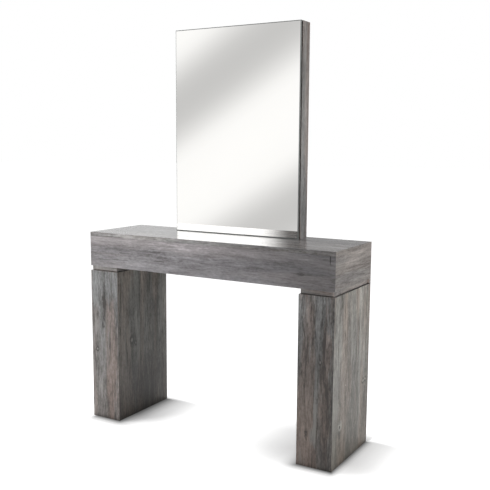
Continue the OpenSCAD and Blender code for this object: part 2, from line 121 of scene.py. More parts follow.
class Graph:
    """Adds nodes to one node tree and wires them with short calls."""

    def __init__(self, tree: bpy.types.NodeTree) -> None:
        """Keeps the tree that the calls add to."""
        self.tree = tree

    def feed(self, socket: Socket, value: object) -> None:
        """Wires or sets an input.

        Args:
            socket: the input.
            value: an output socket, a number, a vector, or a colour without its alpha.
        """
        if isinstance(value, Socket):
            self.tree.links.new(value, socket)
        else:
            socket.default_value = (*value, 1.0) if socket.type == "RGBA" else value

    def fill(self, shader: bpy.types.Node, **values: object) -> None:
        """Wires or sets a shader's inputs by name, with an underscore for each space."""
        for key, value in values.items():
            self.feed(shader.inputs[key.replace("_", " ")], value)

    def node(self, kind: str, inputs: dict | None = None, **settings: object) -> bpy.types.Node:
        """Adds one node.

        Args:
            kind: the node's Blender type name.
            inputs: a value or an output socket for each input, by name or index.
            **settings: the node's own properties.

        Returns:
            The new node.
        """
        made = self.tree.nodes.new(kind)
        for key, value in settings.items():
            setattr(made, key, value)
        for key, value in (inputs or {}).items():
            self.feed(made.inputs[key], value)
        return made

    def math(self, operation: str, *values: object) -> Socket:
        """The result of a Math node on up to three numbers or sockets."""
        return self.node("ShaderNodeMath", dict(enumerate(values)), operation=operation).outputs[0]

    def times(self, first: object, second: object) -> Socket:
        """The product of two numbers or sockets."""
        return self.math("MULTIPLY", first, second)

    def vector(self, operation: str, *values: object) -> Socket:
        """The vector of a Vector Math node, or its number for LENGTH and DOT_PRODUCT."""
        made = self.node("ShaderNodeVectorMath", dict(enumerate(values)), operation=operation)
        return made.outputs["Value" if operation in ("LENGTH", "DOT_PRODUCT") else "Vector"]

    def product(self, first: object, second: object) -> Socket:
        """The product of two vectors or colours, part by part."""
        return self.vector("MULTIPLY", first, second)

    def split(self, vector: Socket) -> Sequence[Socket]:
        """A vector's three parts."""
        return self.node("ShaderNodeSeparateXYZ", {0: vector}).outputs

    def total(self, start: object, *parts: tuple[object, float], middle: float = 0.0) -> Socket:
        """Adds weighted values to a start.

        Args:
            start: a number or socket.
            *parts: each value with its weight.
            middle: the value that counts as nothing.

        Returns:
            The sum's socket.
        """
        for value, weight in parts:
            away = self.math("SUBTRACT", value, middle) if middle else value
            start = self.math("MULTIPLY_ADD", away, weight, start)
        return start

    def noise(self, at: Socket, stretch: Triple, detail: float = 2.0, roughness: float = 0.5,
              shift: Triple = (0.0, 0.0, 0.0)) -> Socket:
        """Adds stretched noise from 0 to 1.

        Args:
            at: the place, in metres.
            stretch: how many features lie on a metre, along each axis.
            detail: the octaves.
            roughness: how much the fine octaves count.
            shift: where the pattern starts.

        Returns:
            The noise's socket.
        """
        place = self.node("ShaderNodeMapping", {"Vector": at, "Location": shift, "Scale": stretch}).outputs[0]
        values = {"Vector": place, "Scale": 1.0, "Detail": detail, "Roughness": roughness}
        return self.node("ShaderNodeTexNoise", values).outputs[0]

    def span(self, value: object, low: object, high: object, to_low: float = 0.0, to_high: float = 1.0,
             kind: str = "LINEAR") -> Socket:
        """Maps a range of values onto another and clamps it.

        Args:
            value: the number or socket.
            low: what becomes to_low.
            high: what becomes to_high.
            to_low: the new value at low.
            to_high: the new value at high.
            kind: how it runs from one to the other.

        Returns:
            The result's socket.
        """
        ends = {0: value, 1: low, 2: high, 3: to_low, 4: to_high}
        return self.node("ShaderNodeMapRange", ends, interpolation_type=kind, clamp=True).outputs[0]

    def ease(self, *values: object) -> Socket:
        """A span that starts and ends gently."""
        return self.span(*values, kind="SMOOTHSTEP")

    def ramp(self, value: object, stops: Sequence[tuple[float, Colour]]) -> Socket:
        """Turns a number into a colour.

        Args:
            value: the number's socket.
            stops: each stop's place and colour.

        Returns:
            The colour's socket.
        """
        made = self.node("ShaderNodeValToRGB", {0: value})
        elements = made.color_ramp.elements
        while len(elements) < len(stops):
            elements.new(0.5)
        for element, (place, colour) in zip(elements, stops):
            element.position = place
            element.color = (*colour, 1.0)
        return made.outputs[0]

    def mix(self, amount: object, first: object, second: object) -> Socket:
        """A mix of two colours, the first at 0 and the second at 1."""
        return self.node("ShaderNodeMix", {0: amount, 6: first, 7: second}, data_type="RGBA").outputs[2]

    def bump(self, height: Socket, strength: float, depth: float) -> Socket:
        """The normal on a relief from 0 to 1, with how much of it shows and its depth in metres."""
        values = {"Height": height, "Strength": strength, "Distance": depth}
        return self.node("ShaderNodeBump", values).outputs[0]

    def place(self) -> Socket:
        """The point's place in the station's frame, in metres."""
        return self.node("ShaderNodeTexCoord").outputs["Object"]

    def reach(self, place: Socket, middle: Vector, length: float, width: float) -> Socket:
        """The distance from a middle, in lengths along the grain and widths across it."""
        away = self.vector("SUBTRACT", place, tuple(middle))
        return self.vector("LENGTH", self.product(away, (1 / length, 1 / width, 1 / width)))

    def seen(self) -> Socket:
        """Tells what the camera sees from what only lights a matt surface.

        Returns:
            The socket: 1 for what is seen straight, in gloss or through glass, otherwise 0.
        """
        rays = self.rays()
        straight = self.math("MAXIMUM", rays["Is Camera Ray"], rays["Is Transmission Ray"])
        return self.math("MAXIMUM", straight, rays["Is Glossy Ray"])

    def rays(self) -> Sequence[Socket]:
        """What is known of the ray that meets the surface."""
        return self.node("ShaderNodeLightPath").outputs


def surface(name: str) -> tuple[Material, Graph, bpy.types.Node]:
    """Starts a material.

    Args:
        name: the material's name.

    Returns:
        The material, its graph, and its Principled shader.
    """
    material = bpy.data.materials.new(name)
    material.use_nodes = True
    shader = next(n for n in material.node_tree.nodes if n.type == "BSDF_PRINCIPLED")
    return material, Graph(material.node_tree), shader


def greys(*stops: tuple[float, float]) -> Drift:
    """Turns stops of brightness into stops of grey."""
    return tuple((at, (value,) * 3) for at, value in stops)


# Finishes


@dataclass(frozen=True)
class Knot:
    """A knot in the printed oak, drawn out along the grain.

    Attributes:
        at: its middle, on the board's face.
        size: half its width across the grain.
        ring: how dark its rim is, from 0 to 1.
        core: how dark its middle is, below 0 for a pale one.
        tail: how dark the streaks at its two ends are.
        stretch: how many times as long as wide it is.
    """

    at: Triple
    size: float = 0.006
    ring: float = 0.5
    core: float = 0.2
    tail: float = 0.3
    stretch: float = 2.3

    RIM, RIM_WIDTH = 0.85, 0.4  # in half widths of the knot, as are the next two
    STREAK = (9.0, 0.9)  # the streaks' length and width
    SWIRL = (6.5, 2.4)  # how far along and across it draws the grain in
    DRAW = (0.0, -0.8, -0.8)  # how strongly it draws it in, across the grain

    def darkness(self, graph: Graph, place: Socket, middle: Vector) -> Socket:
        """Works out how much the knot darkens the print.

        Args:
            graph: the material's graph.
            place: the place in the grain's own axes.
            middle: the knot's middle in the same axes.

        Returns:
            The darkness's socket.
        """
        ragged = graph.times(graph.noise(place, (50, 170, 170), 3.0, 0.65), 2.0)
        near, far = (graph.times(graph.reach(place, middle, self.size * length, self.size * width), ragged)
                     for length, width in ((self.stretch, 1.0), self.STREAK))
        from_rim = graph.math("ABSOLUTE", graph.math("SUBTRACT", near, self.RIM))
        rim = graph.ease(from_rim, 0.0, self.RIM_WIDTH, self.ring, 0.0)
        eye = graph.ease(near, 0.1, 0.6, self.core, 0.0)
        return graph.total(rim, (eye, 1.0), (graph.ease(far, 0.2, 1.15, self.tail, 0.0), 1.0))

    def swirl(self, graph: Graph, place: Socket, middle: Vector) -> Socket:
        """Works out how the grain bends round the knot.

        Args:
            graph: the material's graph.
            place: the place in the grain's own axes.
            middle: the knot's middle in the same axes.

        Returns:
            The socket of how far the pattern is moved.
        """
        reach = graph.reach(place, middle, *(self.size * share for share in self.SWIRL))
        pull = graph.math("EXPONENT", graph.times(graph.times(reach, reach), -1.0))
        away = graph.vector("SUBTRACT", place, tuple(middle))
        return graph.product(graph.product(away, self.DRAW), pull)


@dataclass(frozen=True)
class StainAndLight:
    """A long soft patch on the printed oak, lighter or darker: most are stained streaks in the print and one
    is the dark seam of a joint, while two are painted light, on the worktop's front edge and on the recessed
    board's back right corner.

    Attributes:
        at: its middle, on the board's face.
        length: half its length along the grain.
        width: half its width across the grain.
        tone: how much lighter it is, below 0 where darker.
        warmth: how much browner it is, below 0 where greyer.
        ragged: how uneven its edge is.
    """

    at: Triple
    length: float
    width: float
    tone: float = 0.0
    warmth: float = 0.0
    ragged: float = 1.4

    def strength(self, graph: Graph, place: Socket, middle: Vector) -> Socket:
        """Works out how strong the patch is at a place.

        Args:
            graph: the material's graph.
            place: the place in the grain's own axes.
            middle: the patch's middle in the same axes.

        Returns:
            The strength's socket, from 0 to 1.
        """
        edge = graph.noise(place, (12, 130, 130), 3.0, 0.6)
        reach = graph.reach(place, middle, self.length, self.width)
        return graph.ease(graph.total(reach, (edge, self.ragged), middle=0.5), 0.25, 1.1, 1.0, 0.0)


def marks(kind: type, axis: int, level: float, rows: Iterable[Sequence[float]]) -> tuple:
    """Lays knots or stains out on an upright face.

    Args:
        kind: Knot or Stain.
        axis: the axis that the face looks along, 0 for X or 1 for Y.
        level: the face's place on that axis.
        rows: for each, its place along the face, its height, and the kind's other values in their order.

    Returns:
        The knots or stains.
    """
    return tuple(kind((along, level, up) if axis else (level, along, up), *rest) for along, up, *rest in rows)


@dataclass(frozen=True)
class OakLaminate:
    """Printed grey oak on a board, with its pores pressed in.

    Attributes:
        grain: the way the grain runs.
        seed: where in the endless pattern the board was cut.
        drift: the board's shade at places along its grain, in metres, in rising order; on the worktop, the
            box's long boards, the legs and the recessed boards it holds painted light and shade besides the
            print's tone.
        knots: the knots on its face.
        stains_and_light: the stained patches on its face, and on the worktop and the recessed boards patches
            of painted light.
        hues: the tints of its grey and of its brown streaks.
        roughness: its roughness at a middling tone.
        relief: how strongly the pores and fibres stand out.
        contrast: how strongly the grain shows.
    """

    grain: Grain
    seed: int = 0
    drift: Drift = ((0.0, (1.0, 1.0, 1.0)),)
    knots: tuple[Knot, ...] = ()
    stains_and_light: tuple[StainAndLight, ...] = ()
    hues: tuple[Colour, Colour] = ((0.955, 1.0, 1.012), (1.09, 0.985, 0.935))
    roughness: float = 0.45
    relief: float = 0.55
    contrast: float = 1.0

    PATTERN = "Grey oak pattern"
    CUT = (3.71, 1.37, 2.13)  # how far each step of the seed moves the cut
    PORE = 0.35 * MM
    TONES = ((0.0, (0.045, 0.041, 0.038)), (0.28, (0.140, 0.133, 0.128)), (0.5, (0.240, 0.232, 0.227)),
             (0.72, (0.345, 0.337, 0.332)), (1.0, (0.54, 0.535, 0.53)))

    @classmethod
    def pattern(cls) -> bpy.types.NodeTree:
        """Makes the shared pattern of the print, once.

        Returns:
            A node group from a place in the grain's own axes, and a knot's darkness, to tone, hue and relief.
        """
        if cls.PATTERN in bpy.data.node_groups:
            return bpy.data.node_groups[cls.PATTERN]
        tree = bpy.data.node_groups.new(cls.PATTERN, "ShaderNodeTree")
        for name, way, kind in (("Place", "INPUT", "Vector"), ("Knot", "INPUT", "Float"),
                                ("Tone", "OUTPUT", "Float"), ("Hue", "OUTPUT", "Float"),
                                ("Relief", "OUTPUT", "Float")):
            tree.interface.new_socket(name=name, in_out=way, socket_type=f"NodeSocket{kind}")
        graph = Graph(tree)
        given = graph.node("NodeGroupInput").outputs
        start, knot = given["Place"], given["Knot"]
        bend = graph.total(0.0, (graph.noise(start, (1.7, 6, 6)), 0.036),
                           (graph.noise(start, (6, 16, 16)), 0.012),
                           (graph.noise(start, (38, 60, 60)), 0.001), middle=0.5)
        place = graph.vector("ADD", start, graph.node("ShaderNodeCombineXYZ", {1: bend, 2: bend}).outputs[0])

        patches = graph.noise(start, (2.0, 8, 8), 4.0, 0.6, (3, 1, 7))
        bands = graph.noise(place, (0.9, 20, 20), 2.0, 0.5, (1, 5, 2))
        heart = graph.ease(graph.noise(place, (1.8, 34, 34), 3.0, 0.65, (6, 2, 8)), 0.54, 0.70)
        clouds = graph.noise(place, (13, 48, 48), 3.0, 0.6, (4, 7, 5))
        streaks = graph.noise(place, (6.5, 95, 95), 3.0, 0.65, (9, 2, 4))
        lines = graph.noise(place, (13, 210, 210), 3.0, 0.65, (2, 8, 1))
        flecks = graph.noise(place, (60, 150, 150), 2.0, 0.65, (1, 7, 3))
        glints = graph.span(graph.noise(place, (26, 270, 270), 2.0, 0.6, (5, 9, 1)), 0.63, 0.74)
        fibres = graph.noise(place, (30, 1000, 1000), 2.0, 0.5, (5, 5, 5))
        swell = graph.noise(place, (0.8, 8.5, 8.5), 1.4, 0.4, (4, 4, 9))
        rings = graph.math("MULTIPLY_ADD", graph.math("SINE", graph.times(swell, 125.0)), 0.5, 0.5)
        rings = graph.times(graph.math("POWER", rings, 3.0), graph.ease(patches, 0.42, 0.62, 0.25, 1.0))
        checks = graph.times(graph.span(graph.noise(place, (13, 190, 190), 2.0, 0.6, (7, 3, 3)), 0.58, 0.70),
                             graph.span(graph.noise(start, (3, 14, 14), 1.0, 0.5, (8, 8, 1)), 0.45, 0.6))
        pores = graph.span(graph.noise(place, (70, 1500, 1500), 0.0, 0.5, (6, 1, 6)), 0.62, 0.72)
        veil = graph.times(graph.span(graph.noise(place, (4.5, 130, 130), 3.0, 0.6, (12, 6, 3)), 0.54, 0.72),
                           graph.span(graph.noise(start, (2.2, 16, 16), 1.0, 0.5, (3, 8, 8)), 0.45, 0.65))
        warmth = graph.noise(place, (0.9, 19, 19), 2.0, 0.5, (2, 9, 9))

        tone = graph.total(0.53, (patches, 1.05), (bands, 0.75), (clouds, 0.48), (streaks, 0.58),
                           (lines, 0.74), (fibres, 0.40), (flecks, 0.60), middle=0.5)
        tone = graph.total(tone, (heart, -0.20), (glints, 0.18), (rings, -0.09), (checks, -0.34),
                           (pores, -0.07), (veil, 0.26), (knot, -0.60))
        hue = graph.total(graph.total(warmth, (patches, 0.4), middle=0.5), (veil, -0.15))
        relief = graph.total(0.0, (lines, 0.45), (fibres, 0.4), (checks, -0.7), (pores, -0.5), (knot, -0.3))
        graph.node("NodeGroupOutput", {"Tone": tone, "Hue": hue, "Relief": relief})
        return tree

    def in_grain(self, point: Triple) -> Vector:
        """A point of the frame in the grain's own axes, before the seed moves it."""
        return Euler(self.grain.value).to_matrix() @ Vector(point)

    def shade(self, graph: Graph, place: Socket) -> Socket | Colour:
        """Works out the board's shade along its grain, with the painted light and shade that its drift holds
        on some boards.

        Args:
            graph: the material's graph.
            place: the place in the grain's own axes.

        Returns:
            The shade's socket, or the shade itself where it is the same all along.
        """
        if len(self.drift) == 1:
            return self.drift[0][1]
        low, high = self.drift[0][0], self.drift[-1][0]
        stops = [((at - low) / (high - low), tuple(c / 2 for c in colour)) for at, colour in self.drift]
        halved = graph.ramp(graph.span(graph.split(place)[0], low, high), stops)
        return graph.product(halved, (2.0, 2.0, 2.0))

    def material(self) -> Material:
        """Makes the board's material.

        Returns:
            The material.
        """
        material, graph, shader = surface(f"Grey oak {self.grain.name.lower()} {self.seed}")
        along = {"Vector": graph.place(), "Rotation": self.grain.value}
        flat = graph.node("ShaderNodeMapping", along).outputs[0]
        bent, dark, pale, brown = flat, 0.0, 0.0, 0.0
        # stained patches, and on some boards patches of painted light
        for stain_and_light in self.stains_and_light:
            strength = stain_and_light.strength(graph, flat, self.in_grain(stain_and_light.at))
            pale = graph.total(pale, (strength, stain_and_light.tone))
            brown = graph.total(brown, (strength, stain_and_light.warmth))
        for knot in self.knots:
            middle = self.in_grain(knot.at)
            dark = graph.total(dark, (knot.darkness(graph, flat, middle), 1.0))
            bent = graph.vector("ADD", bent, knot.swirl(graph, flat, middle))
        seeded = graph.vector("ADD", bent, tuple(self.seed * step for step in self.CUT))
        pattern = graph.node("ShaderNodeGroup", node_tree=self.pattern())
        graph.fill(pattern, Place=seeded, Knot=dark)
        tone = graph.total(0.5, (pattern.outputs["Tone"], self.contrast), middle=0.5)
        tone = graph.math("ADD", tone, pale)
        warm = graph.ease(graph.math("ADD", pattern.outputs["Hue"], brown), 0.41, 0.61)
        colour = graph.product(graph.ramp(tone, self.TONES), graph.mix(warm, *self.hues))
        graph.fill(shader, Base_Color=graph.product(colour, self.shade(graph, flat)),
                   Roughness=graph.span(tone, 0.2, 0.8, self.roughness * 1.1, self.roughness * 0.9),
                   Normal=graph.bump(pattern.outputs["Relief"], self.relief, self.PORE))
        return material


@dataclass(frozen=True)
class Layer:
    """One pattern in a finish.

    Attributes:
        weight: how much it counts in the finish's tone.
        count: how many of its features lie on a metre, along each axis.
        detail: the octaves of its noise.
        roughness: how much the fine octaves count.
        cells: for a pattern of cells, the output that is read.
        cut: the values of its noise that become 0 and 1.
    """

    weight: float
    count: Triple
    detail: float = 2.0
    roughness: float = 0.5
    cells: str = ""
    cut: tuple[float, float] = (0.0, 1.0)

    def value(self, graph: Graph) -> Socket:
        """Lays the pattern out.

        Args:
            graph: the material's graph.

        Returns:
            Its value's socket.
        """
        if self.cells:
            made = graph.node("ShaderNodeTexVoronoi", {"Vector": graph.place(), "Scale": self.count[0]})
            return graph.split(made.outputs[self.cells])[0]
        return graph.span(graph.noise(graph.place(), self.count, self.detail, self.roughness), *self.cut)


@dataclass(frozen=True)
class Skin:
    """A surface whose colour, gloss and relief follow a few patterns.

    Attributes:
        name: the material's name.
        dark: its dark colour.
        light: its light colour.
        ends: the tones at which it is all dark and all light.
        layers: the patterns, whose weighted sum is the tone.
        gloss: its roughness, or the pattern that sets it (-1 for the tone), two values of that, and the
            roughness at each.
        relief: the pattern that stands out, how much of it shows, and its depth in metres.
        metallic: 1 for a metal.
    """

    name: str
    dark: Colour
    light: Colour
    ends: tuple[float, float]
    layers: tuple[Layer, ...]
    gloss: float | tuple[int, float, float, float, float]
    relief: tuple[int, float, float] | None = None
    metallic: float = 0.0

    def material(self) -> Material:
        """Makes the material.

        Returns:
            The material.
        """
        material, graph, shader = surface(self.name)
        values = [layer.value(graph) for layer in self.layers]
        values.append(graph.total(0.0, *zip(values, (layer.weight for layer in self.layers))))
        graph.fill(shader, Base_Color=graph.ramp(values[-1], tuple(zip(self.ends, (self.dark, self.light)))),
                   Metallic=self.metallic)
        if isinstance(self.gloss, float):
            graph.fill(shader, Roughness=self.gloss)
        else:
            graph.fill(shader, Roughness=graph.span(values[self.gloss[0]], *self.gloss[1:]))
        if self.relief:
            graph.fill(shader, Normal=graph.bump(values[self.relief[0]], *self.relief[1:]))
        return material

    @classmethod
    def fibreboard(cls, name: str, light: Colour, dark: Colour, flecks: float, rough: float,
                   depth: float) -> Skin:
        """A plain or dyed board of pressed fibres or chips, with that many flecks to a metre."""
        chips, fine = Layer(0.3, (flecks,) * 3, cells="Color"), Layer(0.4, (flecks * 2.4,) * 3, 3.0, 0.6)
        return cls(name, dark, light, (0.25, 0.8), (chips, fine, Layer(0.35, (9, 9, 9), 3.0)),
                   (-1, 0.2, 0.9, rough - 0.08, rough + 0.08), (1, 0.5, depth))

    @classmethod
    def metal(cls, name: str, light: Colour, dark: Colour, rough: float, spots: float, depth: float) -> Skin:
        """A plated or cast metal, duller where it is stained, with that many spots to a metre."""
        stain_and_light, grit = Layer(0.7, (spots * 0.2,) * 3, 3.0, 0.6), Layer(0.3, (spots * 4,) * 3, 2.0, 0.6)
        return cls(name, dark, light, (0.3, 0.65), (stain_and_light, grit), (0, 0.3, 0.7, rough + 0.14, rough),
                   (1, 0.3, depth), 1.0)

    @classmethod
    def moulding(cls, name: str, colour: Colour, rough: float, grains: float, depth: float) -> Skin:
        """Matt moulded plastic, rubber or foam, a little greyer where it is scuffed."""
        scuffs, grit = Layer(1.0, (60, 60, 60), 4.0, 0.65), Layer(0.0, (grains,) * 3, cells="Distance")
        return cls(name, colour, tuple(min(1.0, c * 1.9 + 0.01) for c in colour), (0.4, 0.75), (scuffs, grit),
                   (0, 0.3, 0.7, rough, rough + 0.12), (1, 0.4, depth))

    @classmethod
    def ground(cls, name: str, light: Colour, dark: Colour, rough: float) -> Skin:
        """The finely ground, faintly uneven edge of a sheet of glass, or the paint on its back."""
        layers = (Layer(0.4, (900, 900, 900)), Layer(0.6, (14, 14, 14)))
        return cls(name, dark, light, (0.3, 0.7), layers, rough, (0, 0.25, 0.0001))


# Meshes


def to_object(mesh: bmesh.types.BMesh, name: str, materials: Sequence[Material]) -> Object:
    """Turns a bmesh into a flat-shaded object at the origin.

    Args:
        mesh: the bmesh, which is freed.
        name: the object's name.
        materials: its material slots.

    Returns:
        The object, in the scene.
    """
    for face in mesh.faces:
        face.smooth = False
    data = bpy.data.meshes.new(name)
    mesh.to_mesh(data)
    mesh.free()
    for material in materials:
        data.materials.append(material)
    made = bpy.data.objects.new(name, data)
    bpy.context.scene.collection.objects.link(made)
    return made


def attach(piece: Object, body: str, slot: str, *nodes: str) -> None:
    """Fixes a piece to its body in place of CAD nodes.

    Args:
        piece: the piece, already in its place.
        body: the CAD body that it moves with.
        slot: the record's material slot; not used.
        *nodes: the CAD nodes that it stands for.
    """
    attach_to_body(piece, body)
    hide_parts(*nodes)
    log.info("%s stands for %s on body %s", piece.name, ", ".join(nodes), body)


def turned(profile: Iterable[tuple[float, float]], centre: Vector, steps: int = 48) -> bmesh.types.BMesh:
    """Spins a closed profile round an upright axis.

    Args:
        profile: radius and height of each corner, from the axis round to the axis.
        centre: where the axis stands.
        steps: the faces round it.

    Returns:
        The closed solid.
    """
    mesh = bmesh.new()
    corners = [mesh.verts.new((centre.x + r, centre.y, centre.z + z)) for r, z in profile]
    edges = [mesh.edges.new(pair) for pair in zip(corners, corners[1:])]
    bmesh.ops.spin(mesh, geom=corners + edges, cent=centre, axis=(0, 0, 1), angle=math.tau, steps=steps,
                   use_merge=True, use_normal_flip=False, use_duplicate=False)
    bmesh.ops.remove_doubles(mesh, verts=mesh.verts, dist=WELD)
    bmesh.ops.recalc_face_normals(mesh, faces=mesh.faces)
    return mesh


@dataclass
class Board:
    """A laminated board: the CAD's own shape, holes and mitres, with its arrises softened.

    Attributes:
        node: the CAD node.
        finish: the oak on its faces.
        band: the oak on the edges that cut across the face's grain.
        arris: how far the arrises are taken off.
    """

    node: str
    finish: OakLaminate
    band: OakLaminate
    arris: float = 0.3 * MM

    SHORT_EDGE = 12 * MM
    SHARP = math.radians(30)
    LEVEL = math.radians(0.5)  # faces that meet at less than this are one
    ACROSS_GRAIN = 0.7  # how much an end's normal lies along the grain

    def build(self, nodes: dict[str, Object]) -> None:
        """Makes the board from its CAD node.

        Args:
            nodes: the CAD nodes by name.
        """
        mesh = bmesh.new()
        mesh.from_mesh(nodes[self.node].data)
        bmesh.ops.remove_doubles(mesh, verts=mesh.verts, dist=WELD)
        bmesh.ops.dissolve_limit(mesh, angle_limit=self.LEVEL, verts=mesh.verts, edges=mesh.edges)
        arrises = [e for e in mesh.edges if e.is_manifold and e.calc_length() > self.SHORT_EDGE
                   and e.calc_face_angle_signed() > self.SHARP]
        bmesh.ops.bevel(mesh, geom=arrises, offset=self.arris, offset_type="OFFSET", segments=2, profile=0.5,
                        affect="EDGES", material=-1, clamp_overlap=True)
        for face in mesh.faces:
            face.material_index = int(abs(face.normal[self.finish.grain.axis]) > self.ACROSS_GRAIN)
        piece = to_object(mesh, f"oak_{self.node}", (self.finish.material(), self.band.material()))
        attach(piece, "station", "grey_oak", self.node)


# Sub-assemblies


@dataclass
class WorktopBox:
    """The worktop and the deep box under it.

    Attributes:
        front: the shade of the long boards, partly their print and partly painted light and shade: lightest
            in the middle, and darker towards the right where the lamp's light falls off.
        top: the shade of the worktop, with painted shade that darkens its left part against the glare there.
        end: the shade of the end panels, which is a little warmer.
        hues: the tints of the worktop and the end panels.
        front_hues: the tints of the long boards.
        top_roughness: the worktop's roughness, a well-rubbed one.
        top_relief: how strongly the worktop's pores stand out.
        seam: the end panel's edge, seen on the apron.
        painted_edge_light: painted light along the front edge of the worktop, which lifts it out of the
            worktop's painted shade to the apron's tone.
        apron_stains: the stains on the apron, in rows for marks.
    """

    # painted light and shade along the long boards over the print's tone: lightest in the middle, darker
    # towards the right where the lamp's light falls off
    front: Drift = ((-0.60, (1.08, 1.055, 1.065)), (-0.49, (1.19, 1.16, 1.175)), (-0.35, (1.52, 1.49, 1.51)),
                    (-0.10, (1.74, 1.70, 1.735)), (0.07, (1.72, 1.68, 1.72)), (0.21, (1.56, 1.525, 1.56)),
                    (0.35, (1.26, 1.235, 1.26)), (0.49, (1.02, 0.995, 1.01)), (0.60, (0.95, 0.93, 0.94)))
    # painted shade: the worktop is darker to the left, against the glare on it there
    top: Drift = ((-0.6, (1.06, 1.04, 1.04)), (0.6, (1.42, 1.395, 1.41)))
    end: Drift = ((0.0, (1.30, 1.235, 1.19)),)
    hues: tuple[Colour, Colour] = ((0.985, 1.0, 1.015), (1.025, 0.995, 0.975))
    front_hues: tuple[Colour, Colour] = ((0.976, 0.989, 1.035), (1.01, 0.985, 1.005))
    top_roughness: float = 0.17
    top_relief: float = 0.14
    seam: StainAndLight = StainAndLight((0.5778, FRONT, 0.830), 0.0028, 0.022, -1.2, ragged=0.2)
    # painted light along the worktop's front edge
    painted_edge_light: StainAndLight = StainAndLight((-0.17, FRONT, 0.852), 0.80, 0.014, 0.26, 0.05, 0.3)
    apron_stains: tuple[Sequence[float], ...] = (
        (0.42, 0.80, 0.16, 0.022, -0.16), (-0.05, 0.80, 0.22, 0.030, 0.07), (0.30, 0.745, 0.14, 0.014, 0.10),
        (-0.38, 0.79, 0.14, 0.016, -0.08), (-0.28, 0.733, 0.26, 0.011, 0.10))

    def build(self, nodes: dict[str, Object]) -> None:
        """Makes the boards that show from outside.

        Args:
            nodes: the CAD nodes by name.
        """
        front = OakLaminate(Grain.ACROSS, 85, self.front, hues=self.front_hues, contrast=0.78)
        ends = OakLaminate(Grain.DEEP, 77, self.end, hues=self.hues, contrast=0.75)
        top = OakLaminate(Grain.ACROSS, 15, self.top, (), (self.painted_edge_light,), self.hues, self.top_roughness,
                          self.top_relief)
        apron = replace(front, knots=(Knot((0.455, FRONT, 0.765), 0.006, 0.25, 0.2, 0.2),),
                        stains_and_light=(self.seam, *marks(StainAndLight, 1, FRONT, self.apron_stains)))
        right = replace(ends, knots=(Knot((OUTER, 0.09, 0.79), 0.004, 0.3, 0.2, 0.2),))
        for node, finish, band in (
                ("worktop", top, replace(ends, seed=13)), ("box_front_apron", apron, front),
                ("box_back_rail", replace(front, seed=8, knots=(Knot((0.21, BACK, 0.77)),)), front),
                ("box_left_end", replace(ends, seed=11), front),
                ("box_right_end", right, replace(front, stains_and_light=(self.seam,)))):
            Board(node, finish, band).build(nodes)


# painted light and shade on the legs over the print's own drift: a painted contact shadow at the floor on
# every board, painted shade low on the inner sides under the box and on the right leg's front where the light
# falls off, and lighter towards the top, where the lamps fall
LEG_PRINT_AND_PAINTED_LIGHT: dict[str, Drift] = {  # from the dark edge at the floor up; the front and back have their leg's
    "left": ((0.0, (0.42, 0.35, 0.32)), (0.02, (1.10, 0.975, 0.92)), (0.35, (0.98, 0.93, 0.905)),
             (0.54, (0.96, 0.93, 0.92)), (0.65, (1.17, 1.145, 1.145))),
    "right": ((0.0, (0.34, 0.28, 0.245)), (0.02, (0.60, 0.52, 0.475)), (0.08, (0.64, 0.567, 0.524)),
              (0.16, (0.71, 0.643, 0.595)), (0.35, (0.68, 0.64, 0.61)), (0.47, (0.78, 0.745, 0.725)),
              (0.63, (1.07, 1.03, 1.015))),
    "outer_side": ((0.0, (0.34, 0.285, 0.24)), (0.02, (0.64, 0.555, 0.465)), (0.14, (0.68, 0.614, 0.534)),
                   (0.22, (0.80, 0.73, 0.655)), (0.32, (0.95, 0.88, 0.815)), (0.69, (1.53, 1.438, 1.362))),
    "inner_side": ((0.0, (0.20, 0.17, 0.15)), (0.03, (0.31, 0.27, 0.24)), (0.14, (0.33, 0.30, 0.274)),
                   (0.22, (0.45, 0.423, 0.396)), (0.30, (0.68, 0.65, 0.615)), (0.38, (0.82, 0.79, 0.75)),
                   (0.46, (0.95, 0.91, 0.87)), (0.69, (1.05, 1.0, 0.95))),
}

LEG_KNOTS = {  # rows for marks
    (Side.LEFT, "front"): (
        (-0.527, 0.548, 0.0112, 0.5, 1.7, 0.5, 2.2), (-0.535, 0.440, 0.0050, 0.3, 0.45, 0.4),
        (-0.566, 0.490, 0.0045, 0.3, 0.7, 0.3), (-0.571, 0.324, 0.0100, 0.9, -0.7, 0.3, 0.9)),
    (Side.LEFT, "inner_side"): (
        (-0.086, 0.360, 0.015, 0.9, -0.7, 0.3, 1.3), (-0.058, 0.343, 0.009, 0.8, -0.5, 0.2, 1.2)),
    (Side.RIGHT, "front"): ((0.544, 0.432, 0.005, 0.6, -1.0, 0.2), (0.490, 0.132, 0.007, 0.5, 0.9, 0.4)),
    (Side.RIGHT, "outer_side"): (
        (0.126, 0.286, 0.0130, 0.8, -1.1, 0.15, 0.9), (0.150, 0.288, 0.0090, 0.6, -1.1, 0.15, 1.2),
        (-0.059, 0.318, 0.0065, 0.3, -1.6, 0.1, 1.0), (-0.111, 0.161, 0.0140, -0.55, 1.8, 0.2, 0.9)),
}

